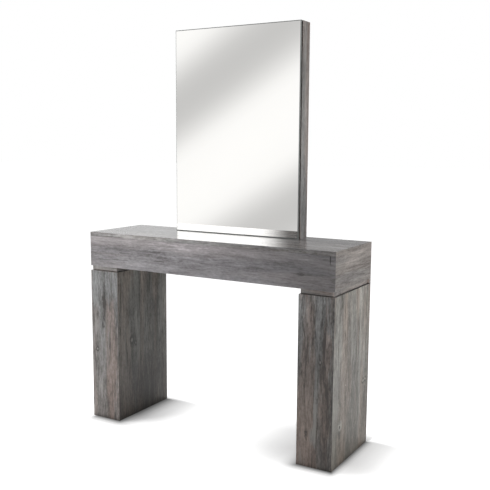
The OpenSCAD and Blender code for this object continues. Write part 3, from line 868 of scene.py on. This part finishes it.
LEG_STAINS = {  # rows for marks
    (Side.LEFT, "front"): (
        (-0.526, 0.56, 0.07, 0.014, -0.10), (-0.500, 0.52, 0.12, 0.020, 0.16),
        (-0.545, 0.20, 0.12, 0.018, 0.16), (-0.585, 0.35, 0.10, 0.018, 0.12),
        (-0.474, 0.30, 0.26, 0.024, 0.04, 0.20),
        (-0.560, 0.16, 0.20, 0.026, -0.05, -0.15), (-0.505, 0.15, 0.10, 0.024, 0.10, 0.1),
        (-0.585, 0.60, 0.10, 0.030, 0.10, -0.1), (-0.500, 0.64, 0.12, 0.040, 0.0, -0.25)),
    (Side.LEFT, "inner_side"): (
        (-0.08, 0.50, 0.16, 0.040, -0.08, -0.1), (-0.07, 0.26, 0.16, 0.035, -0.12, -0.1),
        (-0.15, 0.10, 0.14, 0.035, 0.06, 0.1), (0.02, 0.13, 0.17, 0.115, -0.26, 0.1),
        (-0.160, 0.45, 0.36, 0.034, 0.20, 0.1), (0.10, 0.60, 0.10, 0.05, 0.02, 0.15)),
    (Side.RIGHT, "front"): (
        (0.503, 0.58, 0.10, 0.018, 0.04, 0.30), (0.474, 0.59, 0.14, 0.040, 0.27, -0.1),
        (0.568, 0.46, 0.12, 0.026, -0.08, 0.15), (0.527, 0.25, 0.18, 0.010, 0.60, -0.45, 1.0),
        (0.532, 0.52, 0.16, 0.010, 0.18, -0.35), (0.516, 0.13, 0.05, 0.020, 0.28, -0.25),
        (0.575, 0.12, 0.14, 0.022, -0.16, 0.1), (0.570, 0.34, 0.34, 0.032, 0.0, 0.25)),
    (Side.RIGHT, "outer_side"): (
        (0.13, 0.34, 0.18, 0.012, 0.10, -0.2), (-0.113, 0.163, 0.026, 0.036, 0.22, -0.3, 0.6),
        (0.14, 0.13, 0.11, 0.050, -0.22, 0.1), (-0.155, 0.63, 0.08, 0.035, 0.12),
        (0.02, 0.20, 0.22, 0.040, 0.0, 0.15)),
}


@dataclass
class Leg:
    """A slab leg: four mitred boards on levelling feet, with a recessed board and a black pad above it.

    Attributes:
        side: which leg it is.
        recess_painted_light: the shade of the recessed board of the left and the right leg, painted lighter
            under the left leg and darker under the right one, where the light falls off.
        painted_step_light: where along the recessed board the painted light on its shaded outer end starts
            and is full, and how many times lighter it makes that end.
        corner: painted light that lifts the shaded step at the recessed board's back right corner.
        side_hues: the tints of the two wide sides, a little more olive than the front's.
        front_hues: the tints of the front and back, bluer in the grey.
    """

    side: Side
    # painted light: the same board is lighter under the left leg and darker under the right one
    recess_painted_light: tuple[Colour, Colour] = ((1.15, 1.075, 1.045), (0.92, 0.87, 0.85))
    # painted light that lifts the shaded outer end of the right leg's recessed board
    painted_step_light: tuple[float, float, float] = (0.586, 0.597, 2.1)
    # painted light on the shaded step at the recessed board's back right corner
    corner: StainAndLight = StainAndLight((0.598, 0.164, 0.700), 0.010, 0.016, 0.55, ragged=0.0)
    side_hues: tuple[Colour, Colour] = ((0.955, 1.008, 1.0), (1.07, 1.002, 0.93))
    front_hues: tuple[Colour, Colour] = ((0.94, 1.0, 1.023), (1.095, 0.984, 0.932))

    PARTS = ("front", "outer_side", "back", "inner_side")
    SEEDS = {Side.LEFT: (76, 21, 22, 83), Side.RIGHT: (78, 80, 32, 33)}

    def contrast(self, part: str) -> float:
        """How strongly the grain shows on a board."""
        return 1.25 if part == "inner_side" else 1.5 if (self.side, part) == (Side.RIGHT, "front") else 1.15

    def finish(self, part: str, seed: int) -> OakLaminate:
        """Chooses the oak of a board.

        Args:
            part: the board's name in the leg.
            seed: where in the pattern it was cut.

        Returns:
            The oak.
        """
        wide = part.endswith("side")
        level = (OUTER if part == "outer_side" else INNER) * (1 if self.side is Side.RIGHT else -1)
        face = (0, level) if wide else (1, FRONT)
        knots, stains_and_light = (marks(kind, *face, table.get((self.side, part), ()))
                         for kind, table in ((Knot, LEG_KNOTS), (StainAndLight, LEG_STAINS)))
        return OakLaminate(Grain.UP, seed, LEG_PRINT_AND_PAINTED_LIGHT[part if wide else self.side.value], knots, stains_and_light,
                           self.side_hues if wide else self.front_hues, contrast=self.contrast(part))

    def build(self, nodes: dict[str, Object]) -> None:
        """Makes the leg's boards.

        Args:
            nodes: the CAD nodes by name.
        """
        # painted light on the recessed board: lighter under the left leg, darker under the right, and lifted
        # at its shaded outer end
        shade = self.recess_painted_light[list(Side).index(self.side)]
        start, stop, gain = self.painted_step_light
        recess_painted_light = ((start, shade), (stop, tuple(c * gain for c in shade)))
        for seed, part in zip(self.SEEDS[self.side], self.PARTS):
            band = OakLaminate(Grain.DEEP if part.endswith("side") else Grain.ACROSS, seed + 50, recess_painted_light)
            Board(f"{self.side.value}_leg_{part}", self.finish(part, seed), band).build(nodes)
        # with painted light on the shaded step at its back right corner
        Board(f"{self.side.value}_spacer_board", OakLaminate(Grain.ACROSS, 7, recess_painted_light, stains_and_light=(self.corner,)),
              OakLaminate(Grain.DEEP, 12, WorktopBox.end, hues=WorktopBox.hues)).build(nodes)


@dataclass
class MirrorBox:
    """The frameless mirror and its shallow wooden box.

    Attributes:
        edge: the width of the glass's ground edge.
        drop: how far the ground edge falls back.
        arris: the radius of the ground edge's two arrises.
        shade: the shade of the box from the worktop up, lightest at mid-height on its sides.
    """

    edge: float = 3 * MM
    drop: float = 1.5 * MM
    arris: float = 0.4 * MM
    shade: Drift = ((0.86, (1.16, 1.15, 1.16)), (1.25, (1.40, 1.365, 1.345)), (1.75, (1.18, 1.14, 1.11)))

    SILVERED, PAINTED = 0.999, 0.8  # how squarely a face looks to the front or the back

    def glass(self) -> None:
        """Makes the sheet of glass, silvered in front, ground round its edge and painted behind."""
        low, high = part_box("mirror_glass")
        mesh = bmesh.new()
        bmesh.ops.create_cube(mesh, size=1.0)
        front = low.y + self.drop
        size = Vector((high.x - low.x, high.y - front, high.z - low.z))
        middle = Vector(((low.x + high.x) / 2, (front + high.y) / 2, (low.z + high.z) / 2))
        bmesh.ops.scale(mesh, vec=size, verts=mesh.verts)
        bmesh.ops.translate(mesh, vec=middle, verts=mesh.verts)
        face = min(mesh.faces, key=lambda f: f.calc_center_median().y)
        bmesh.ops.inset_region(mesh, faces=[face], thickness=self.edge, depth=self.drop, use_even_offset=True)
        rims = [e for e in mesh.edges if e.verts[0].co.y < high.y
                and abs(e.verts[0].co.y - e.verts[1].co.y) < WELD]
        bmesh.ops.bevel(mesh, geom=rims, offset=self.arris, segments=2, profile=0.5, affect="EDGES",
                        material=-1)
        for f in mesh.faces:
            f.material_index = 0 if f.normal.y < -self.SILVERED else 2 if f.normal.y > self.PAINTED else 1
        silver = Skin("Silvered glass", (0.952, 0.943, 0.922), (0.957, 0.948, 0.927), (0.3, 0.7),
                      (Layer(1.0, (7, 7, 7), 3.0, 0.6),), (0, 0.35, 0.7, 0.004, 0.02), metallic=1.0)
        edge = Skin.ground("Ground glass edge", (0.38, 0.40, 0.39), (0.28, 0.30, 0.29), 0.3)
        paint = Skin.ground("Mirror back paint", (0.20, 0.21, 0.21), (0.15, 0.155, 0.16), 0.55)
        piece = to_object(mesh, "bevelled_mirror", [skin.material() for skin in (silver, edge, paint)])
        attach(piece, "station", "mirror_glass", "mirror_glass")

    def build(self, nodes: dict[str, Object]) -> None:
        """Makes the glass and the box's boards.

        Args:
            nodes: the CAD nodes by name.
        """
        self.glass()
        ends = OakLaminate(Grain.DEEP, 48, self.shade[:1])
        for step, part in enumerate(("mirror_left_side", "mirror_right_side")):
            Board(part, OakLaminate(Grain.UP, 77 + step, self.shade, contrast=0.8), ends).build(nodes)
        for step, part in enumerate(("mirror_top_board", "mirror_bottom_board")):
            Board(part, OakLaminate(Grain.ACROSS, 44 + step, self.shade[:1]), ends).build(nodes)


@dataclass
class LevellingFoot:
    """A levelling foot: a moulded pad that slides, and a threaded stem that turns in the leg's insert.

    Attributes:
        end: the front or back foot.
        side: the left or right leg.
        sole: the radius of the pad's sole edge.
        cut: how far that edge's middle is cut in, and the rise of the step above the rim.
        lip: the small chamfers of the pad's rim and socket.
        step: how far the slope starts in from the rim.
        rim: the rim's height as a share of the pad's.
        neck: the slope's end and the top's edge, as shares of the pad's radius.
        edge: the height of the top's rounded edge.
        mouth: the width of the flat round the socket.
        socket: the radius of the hole for the stem.
        collar: the lowest and highest height of the hexagon.
        hexagon: its radius at the corners.
        chamfer: the chamfer of the spigot's end.
        nut_chamfer: the chamfer of the hexagon.
        crest: the thread's radius at its crest.
        root: the thread's radius at its root.
        pitch: the thread's rise in one turn.
        flat: where in a turn the crest starts and ends.
        faces: the faces in a turn of the thread.
    """

    end: End
    side: Side
    sole: float = 1.2 * MM
    cut: float = 0.35 * MM
    lip: float = 0.5 * MM
    step: float = 1.4 * MM
    rim: float = 0.4
    neck: tuple[float, float] = (0.72, 0.70)
    edge: float = 0.3 * MM
    mouth: float = 0.6 * MM
    socket: float = 4.05 * MM
    collar: tuple[float, float] = (9.3 * MM, 14.3 * MM)
    hexagon: float = 7.5 * MM
    chamfer: float = 0.6 * MM
    nut_chamfer: float = 0.45 * MM
    crest: float = 4 * MM
    root: float = 3.35 * MM
    pitch: float = 1.25 * MM
    flat: tuple[float, float] = (0.42, 0.58)
    faces: int = 20

    @property
    def name(self) -> str:
        """The foot's name in the frame."""
        return f"{self.end.value}_{self.side.value}"

    def pad(self, finish: Material) -> None:
        """Makes the pad, with a rounded sole, a step above its rim, and the stem's socket.

        Args:
            finish: the pad's material.
        """
        node = f"{self.name}_foot_pad"
        low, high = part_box(node)
        centre = Vector(((low.x + high.x) / 2, (low.y + high.y) / 2, low.z))
        radius, height = (high.x - low.x) / 2, high.z - low.z
        rim = height * self.rim
        profile = [(0, 0), (radius - self.sole, 0), (radius - self.cut, self.cut), (radius, self.sole),
                   (radius, rim - self.lip), (radius - self.lip, rim), (radius - self.step, rim + self.cut),
                   (radius * self.neck[0], height - self.edge), (radius * self.neck[1], height),
                   (self.socket + self.mouth, height), (self.socket, height - self.lip),
                   (self.socket, height / 2), (0, height / 2)]
        piece = to_object(turned(profile, centre), f"{node}_moulding", (finish,))
        attach(piece, f"{self.name}_pad", "foot_plastic", node)

    def stem(self, finish: Material) -> None:
        """Makes the stem: a plain spigot, a chamfered hexagon and a cut thread.

        Args:
            finish: the stem's material.
        """
        node = f"{self.name}_foot_stem"
        low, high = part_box(node)
        centre = Vector(((low.x + high.x) / 2, (low.y + high.y) / 2, 0.0))
        bottom, top = self.collar
        mesh = turned([(0, low.z), (self.crest - self.chamfer, low.z), (self.crest, low.z + self.chamfer),
                       (self.crest, bottom), (0, bottom)], centre, 32)
        nut = bmesh.ops.create_cone(mesh, cap_ends=True, segments=6, radius1=self.hexagon,
                                    radius2=self.hexagon, depth=top - bottom)["verts"]
        bmesh.ops.translate(mesh, verts=nut, vec=centre + Vector((0, 0, (bottom + top) / 2)))
        rims = {edge for face in mesh.faces if len(face.verts) == 6 for edge in face.edges}
        bmesh.ops.bevel(mesh, geom=list(rims), offset=self.nut_chamfer, segments=1, profile=0.5,
                        affect="EDGES", material=-1)
        thread = self.thread(centre, top, high.z)
        joined = bpy.data.meshes.new("thread")
        thread.to_mesh(joined)
        thread.free()
        mesh.from_mesh(joined)
        bpy.data.meshes.remove(joined)
        piece = to_object(mesh, f"{node}_threaded", (finish,))
        attach(piece, f"{self.name}_stem", "zinc_steel", node)

    def thread(self, centre: Vector, bottom: float, top: float) -> bmesh.types.BMesh:
        """Cuts a right-handed thread, from a longer one whose two ends are cut off.

        Args:
            centre: where the axis stands.
            bottom: the thread's lowest height.
            top: its highest height.

        Returns:
            The closed threaded rod.
        """
        mesh = bmesh.new()
        turns = int((top - bottom) / self.pitch) + 3
        start = bottom - 1.5 * self.pitch
        flank = ((self.root, 0.0), (self.crest, self.flat[0]), (self.crest, self.flat[1]), (self.root, 1.0))
        corners = [mesh.verts.new((centre.x + r, centre.y, start + self.pitch * share)) for r, share in flank]
        edges = [mesh.edges.new(pair) for pair in zip(corners, corners[1:])]
        bmesh.ops.spin(mesh, geom=corners + edges, cent=centre, axis=(0, 0, 1), angle=math.tau * turns,
                       steps=self.faces * turns, dvec=(0, 0, self.pitch / self.faces), use_merge=False)
        bmesh.ops.remove_doubles(mesh, verts=mesh.verts, dist=WELD)
        for height, outside in ((bottom, -1), (top, 1)):
            bmesh.ops.bisect_plane(mesh, geom=mesh.verts[:] + mesh.edges[:] + mesh.faces[:], dist=WELD / 10,
                                   plane_co=(0, 0, height), plane_no=(0, 0, outside), clear_outer=True)
            rim = [e for e in mesh.edges if e.is_boundary
                   and all(abs(v.co.z - height) < WELD for v in e.verts)]
            bmesh.ops.holes_fill(mesh, edges=rim, sides=0)
        bmesh.ops.recalc_face_normals(mesh, faces=mesh.faces)
        return mesh


class HiddenParts:
    """The boards and fittings that keep their CAD shape and get their finishes."""

    def materials(self) -> dict[str, Material]:
        """Makes the finishes of the record's slots.

        Returns:
            The materials by slot.
        """
        skins = {
            "grey_oak": Skin.fibreboard("Grey melamine", (0.30, 0.29, 0.285), (0.22, 0.212, 0.208), 420, 0.55,
                                        0.00008),
            "plain_board": Skin.fibreboard("Raw fibreboard", (0.50, 0.385, 0.26), (0.36, 0.26, 0.165), 300,
                                           0.8, 0.00025),
            "black_board": Skin.fibreboard("Black fibreboard", (0.030, 0.029, 0.028), (0.012,) * 3, 500, 0.72,
                                           0.0001),
            "beech_dowel": Skin("Beech", (0.34, 0.21, 0.11), (0.66, 0.48, 0.30), (0.2, 0.8),
                                (Layer(1.0, (30, 420, 420), 3.0, 0.6),
                                 Layer(-0.25, (160, 1400, 1400), 1.0, cut=(0.6, 0.75))),
                                0.62, (0, 0.4, 0.0002)),
            "black_pad": Skin.moulding("Black joint pad", (0.045, 0.040, 0.036), 0.62, 900, 0.0001),
            "foam_tape": Skin.moulding("Foam tape", (0.03, 0.03, 0.03), 0.85, 1500, 0.0002),
            "foot_plastic": Skin.moulding("Moulded foot", (0.024, 0.024, 0.025), 0.48, 1400, 0.00008),
            "zinc_steel": Skin.metal("Zinc plate", (0.66, 0.67, 0.69), (0.45, 0.455, 0.47), 0.26, 120,
                                     0.00003),
            "cast_zinc": Skin.metal("Cast zinc", (0.55, 0.55, 0.56), (0.38, 0.38, 0.39), 0.42, 300, 0.00008),
        }
        return {slot: skin.material() for slot, skin in skins.items()}

    def dress(self, frame: dict, made: dict[str, Material]) -> None:
        """Gives each CAD node that still shows the material of its slot.

        Args:
            made: the materials by slot.
        """
        slots = {part["node"]: part["material_slot"] for part in frame["record"]["subparts"]}
        for name, node in frame["nodes"].items():
            if node.hide_render:
                continue
            node.data.materials.clear()
            node.data.materials.append(made[slots[name]])
            log.info("%s keeps its CAD shape in %s", name, made[slots[name]].name)


# Studio


@dataclass(frozen=True)
class Softbox:
    """A lamp that lights the station and isn't seen in its gloss.

    Attributes:
        name: its name.
        at: where it hangs.
        aim: the point it faces.
        size: its width and height.
        watts: its power.
    """

    name: str
    at: Triple
    aim: Triple
    size: tuple[float, float]
    watts: float

    def build(self) -> None:
        """Hangs the lamp."""
        data = bpy.data.lights.new(self.name, "AREA")
        data.shape, data.size, data.size_y, data.energy = "RECTANGLE", *self.size, self.watts
        made = bpy.data.objects.new(self.name, data)
        made.location = self.at
        made.rotation_euler = (Vector(self.aim) - Vector(self.at)).to_track_quat("-Z", "Y").to_euler()
        made.visible_glossy = False
        bpy.context.scene.collection.objects.link(made)


@dataclass(frozen=True)
class FloorShadow:
    """A rectangular shadow on the floor with soft edges.

    Attributes:
        x: the lowest and highest x of its core.
        y: the lowest and highest y of its core.
        reach: how far it fades to the left, right, front and back of its core.
    """

    x: tuple[float, float]
    y: tuple[float, float]
    reach: tuple[float, float, float, float]

    def out(self, graph: Graph) -> Socket:
        """Measures the way out of the shadow.

        Args:
            graph: the floor's graph.

        Returns:
            The distance's socket, 0 in the core and 1 where the shadow ends.
        """
        x, y, _ = graph.split(graph.place())
        sides = []
        left, right, front, back = self.reach
        for value, (start, end), before, after in ((x, self.x, left, right), (y, self.y, front, back)):
            under = graph.times(graph.math("SUBTRACT", start, value), 1 / before)
            over = graph.times(graph.math("SUBTRACT", value, end), 1 / after)
            sides.append(graph.math("MAXIMUM", graph.math("MAXIMUM", under, over), 0.0))
        return graph.vector("LENGTH", graph.node("ShaderNodeCombineXYZ", dict(enumerate(sides))).outputs[0])


@dataclass
class Studio:
    """The floor, the light and the camera of the photograph.

    Attributes:
        eye: where the camera stands.
        yaw: how far it turns to the left of straight ahead, in degrees.
        pitch: how far it looks down, in degrees.
        roll: how far it leans, in degrees.
        lens: its focal length in mm on a 36 mm sensor.
        lamps: the lamps.
        ambient: the world's light on matt surfaces from all around.
        behind: how much stronger it is straight from behind the station.
        floor_reach: how far the floor reaches each way.
        broad: the broad shadows beside the left leg, beside the right leg and between the two.
        broad_fade: the floor's brightness on the way out of a broad shadow.
        contact: the narrow shadows round the foot of each leg.
        contact_fade: the floor's brightness on the way out of a narrow shadow.
        trough: the middle of a grey band on the card that the mirror shows.
        lean: how far the band leans from level, in degrees.
        spread: how far apart the grey bands lie on the card.
        glow: the card's brightness at shares of the way from a grey band to a white one.
        glare: the card's brightness in the worktop, to the left and right of where it ends.
        glare_end: where it starts to fade, and where it has.
        flag_fade: where the grey flag starts and ends to darken, and its brightness at both.
    """

    eye: Triple = (1.696, -2.715, 1.248)
    yaw: float = 30.42
    pitch: float = 7.53
    roll: float = 0.362
    lens: float = 54.9
    lamps: tuple[Softbox, ...] = (
        Softbox("key", (-1.7, -1.2, 1.2), (-0.4, 0.0, 0.6), (0.8, 1.0), 27.5),
        Softbox("right_fill", (3.2, 0.3, 2.6), (0.5, 0.0, 0.8), (1.2, 1.2), 46.7))
    ambient: float = 0.02
    behind: float = 0.6
    floor_reach: float = 40.0
    broad: tuple[FloorShadow, ...] = (
        FloorShadow((0.025 - OUTER, -INNER), (-0.05, BACK), (0.035, 0.26, 0.24, 0.035)),
        FloorShadow((INNER, OUTER), (-0.05, BACK), (0.02, 0.25, 0.23, 0.035)),
        FloorShadow((INNER, OUTER), (-0.02, 0.20), (0.41, 0.02, 0.30, 0.09)))
    broad_fade: tuple[tuple[float, float], ...] = (
        (0.0, 0.28), (0.22, 0.42), (0.435, 0.56), (0.65, 0.76), (0.82, 0.91), (1.0, 1.0))
    contact: tuple[FloorShadow, ...] = (
        FloorShadow((0.015 - OUTER, -INNER), (FRONT, BACK), (0.05, 0.09, 0.075, 0.012)),
        FloorShadow((INNER, OUTER), (FRONT, BACK), (0.07, 0.035, 0.055, 0.012)))
    contact_fade: tuple[tuple[float, float], ...] = (
        (0.0, 0.28), (0.12, 0.42), (0.28, 0.60), (0.5, 0.78), (0.75, 0.92), (1.0, 1.0))
    trough: Triple = (-1.797, -3.0, 2.043)
    lean: float = 31.0
    spread: float = 1.45
    glow: tuple[tuple[float, float], ...] = (
        (0.0, 0.60), (0.1, 0.65), (0.3, 0.79), (0.5, 0.93), (0.6, 0.98), (0.75, 1.025), (1.0, 1.045))
    glare: tuple[float, float] = (2.4, 0.1)
    glare_end: tuple[float, float] = (-1.626, -1.283)
    flag_fade: tuple[float, float, float, float] = (-1.9, -0.7, 1.0, 0.44)

    def camera(self) -> None:
        """Sets the camera up as the photograph's was."""
        yaw, pitch, roll = (math.radians(v) for v in (self.yaw, self.pitch, self.roll))
        ahead = Vector((-math.sin(yaw) * math.cos(pitch), math.cos(yaw) * math.cos(pitch), -math.sin(pitch)))
        level = Vector((math.cos(yaw), math.sin(yaw), 0.0))
        above = level.cross(ahead)
        right = math.cos(roll) * level + math.sin(roll) * above
        upward = right.cross(ahead)
        data = bpy.data.cameras.new("camera")
        data.lens, data.sensor_width = self.lens, 36.0
        data.clip_start, data.clip_end = 0.05, 200.0
        made = bpy.data.objects.new("camera", data)
        facing = Matrix((right, upward, -ahead)).transposed().to_4x4()
        made.matrix_world = Matrix.Translation(self.eye) @ facing
        bpy.context.scene.collection.objects.link(made)
        bpy.context.scene.camera = made

    def world(self) -> None:
        """Makes a background that is white to the eye and in gloss, and lights matt surfaces from behind."""
        world = bpy.data.worlds.new("studio")
        bpy.context.scene.world = world
        world.use_nodes = True
        graph = Graph(world.node_tree)
        shader = next(n for n in world.node_tree.nodes if n.type == "BACKGROUND")
        way = graph.node("ShaderNodeTexCoord").outputs["Generated"]
        lean = graph.math("MAXIMUM", graph.vector("DOT_PRODUCT", way, (0.0, 1.0, 0.0)), 0.0)
        soft = graph.math("MULTIPLY_ADD", lean, self.behind, self.ambient)
        rest = graph.times(graph.math("SUBTRACT", 1.0, soft), graph.seen())
        graph.fill(shader, Color=(1.0, 1.0, 1.0), Strength=graph.math("ADD", soft, rest))

    def nearest(self, graph: Graph, shadows: Iterable[FloorShadow]) -> Socket | float:
        """Measures the way out of the nearest of several shadows.

        Args:
            graph: the floor's graph.
            shadows: the shadows.

        Returns:
            The distance's socket, 0 in a core and 1 outside them all.
        """
        out = 1.0
        for shadow in shadows:
            out = graph.math("MINIMUM", out, shadow.out(graph))
        return out

    def floor(self) -> None:
        """Lays a floor, white elsewhere and clear from below, that keeps the lamps' shadows beside the legs
        and has painted shadows there in its glow and its colour.
        """
        mesh = bmesh.new()
        bmesh.ops.create_grid(mesh, x_segments=1, y_segments=1, size=self.floor_reach)
        material, graph, shader = surface("Studio floor")
        # painted shadows beside the legs, in the floor's glow and, round the legs' feet, in its colour too
        broad = graph.ramp(self.nearest(graph, self.broad), greys(*self.broad_fade))
        contact = graph.ramp(self.nearest(graph, self.contact), greys(*self.contact_fade))
        colour = graph.ramp(graph.noise(graph.place(), (3, 3, 3)), greys((0.3, 0.79), (0.7, 0.81)))
        graph.fill(shader, Base_Color=graph.product(colour, contact), Roughness=0.9, Specular_IOR_Level=0.0,
                   Emission_Color=graph.product(broad, contact), Emission_Strength=graph.seen())
        below = graph.node("ShaderNodeNewGeometry").outputs["Backfacing"]
        clear = graph.node("ShaderNodeBsdfTransparent")
        faces = graph.node("ShaderNodeMixShader", {0: below, 1: shader.outputs[0], 2: clear.outputs[0]})
        output = next(n for n in material.node_tree.nodes if n.type == "OUTPUT_MATERIAL")
        graph.fill(output, Surface=faces.outputs[0])
        to_object(mesh, "studio_floor", (material,))

    def card(self, name: str, middle: Triple, half: tuple[float, float]) -> Graph:
        """Stands a glowing card up across the studio that only gloss shows.

        Args:
            name: its name.
            middle: its middle.
            half: half its width and height.

        Returns:
            The empty graph of its material.
        """
        mesh = bmesh.new()
        bmesh.ops.create_grid(mesh, x_segments=1, y_segments=1, size=1.0)
        bmesh.ops.scale(mesh, verts=mesh.verts, vec=(*half, 1.0))
        bmesh.ops.rotate(mesh, verts=mesh.verts, cent=(0, 0, 0), matrix=Matrix.Rotation(math.pi / 2, 3, "X"))
        bmesh.ops.translate(mesh, verts=mesh.verts, vec=middle)
        material = bpy.data.materials.new(name)
        material.use_nodes = True
        material.node_tree.nodes.clear()
        made = to_object(mesh, name, (material,))
        made.visible_camera = made.visible_diffuse = made.visible_shadow = made.visible_transmission = False
        return Graph(material.node_tree)

    def light(self, graph: Graph, strength: Socket) -> None:
        """Makes a card glow white."""
        light = graph.node("ShaderNodeEmission", {"Color": (1.0, 1.0, 1.0), "Strength": strength})
        graph.node("ShaderNodeOutputMaterial", {"Surface": light.outputs[0]})

    def front_card(self) -> None:
        """Stands up the card in front: a soft diagonal wave in the mirror, plainly bright in the worktop."""
        graph = self.card("studio_front_card", (-0.5, self.trough[1], 2.21), (6.0, 2.2))
        place, lean = graph.place(), math.radians(self.lean)
        across = graph.vector("DOT_PRODUCT", graph.vector("SUBTRACT", place, self.trough),
                              (math.sin(lean), 0.0, -math.cos(lean)))
        wave = graph.math("COSINE", graph.times(across, math.tau / self.spread))
        top = self.glow[-1][1]
        stops = greys(*((at, value / top) for at, value in self.glow))
        share = graph.ramp(graph.math("MULTIPLY_ADD", wave, -0.5, 0.5), stops)
        once = graph.times(share, top)
        twice = graph.ease(graph.split(place)[0], *self.glare_end, *self.glare)
        again = graph.math("GREATER_THAN", graph.rays()["Glossy Depth"], 1.5)
        self.light(graph, graph.math("ADD", once, graph.times(graph.math("SUBTRACT", twice, once), again)))

    def back_flag(self) -> None:
        """Stands up a grey flag behind, which calms the gloss on the right."""
        graph = self.card("studio_back_flag", (2.0, 2.0, 2.0), (5.0, 2.0))
        self.light(graph, graph.ease(graph.split(graph.place())[0], *self.flag_fade))

    def build(self) -> None:
        """Sets up the studio."""
        bpy.context.scene.view_settings.view_transform = "Standard"
        self.camera()
        self.world()
        self.floor()
        self.front_card()
        self.back_flag()
        for lamp in self.lamps:
            lamp.build()
        log.info("studio set up")


def main() -> None:
    """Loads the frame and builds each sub-assembly."""
    logging.basicConfig(level=logging.INFO, format="%(name)s: %(message)s")
    for old in list(bpy.data.objects):
        bpy.data.objects.remove(old)
    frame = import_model()
    nodes = frame["nodes"]
    WorktopBox().build(nodes)
    for side in Side:
        Leg(side).build(nodes)
    MirrorBox().build(nodes)
    hidden = HiddenParts()
    made = hidden.materials()
    for end in End:
        for side in Side:
            foot = LevellingFoot(end, side)
            foot.pad(made["foot_plastic"])
            foot.stem(made["zinc_steel"])
    hidden.dress(frame, made)
    Studio().build()


if __name__ == "__main__":
    main()
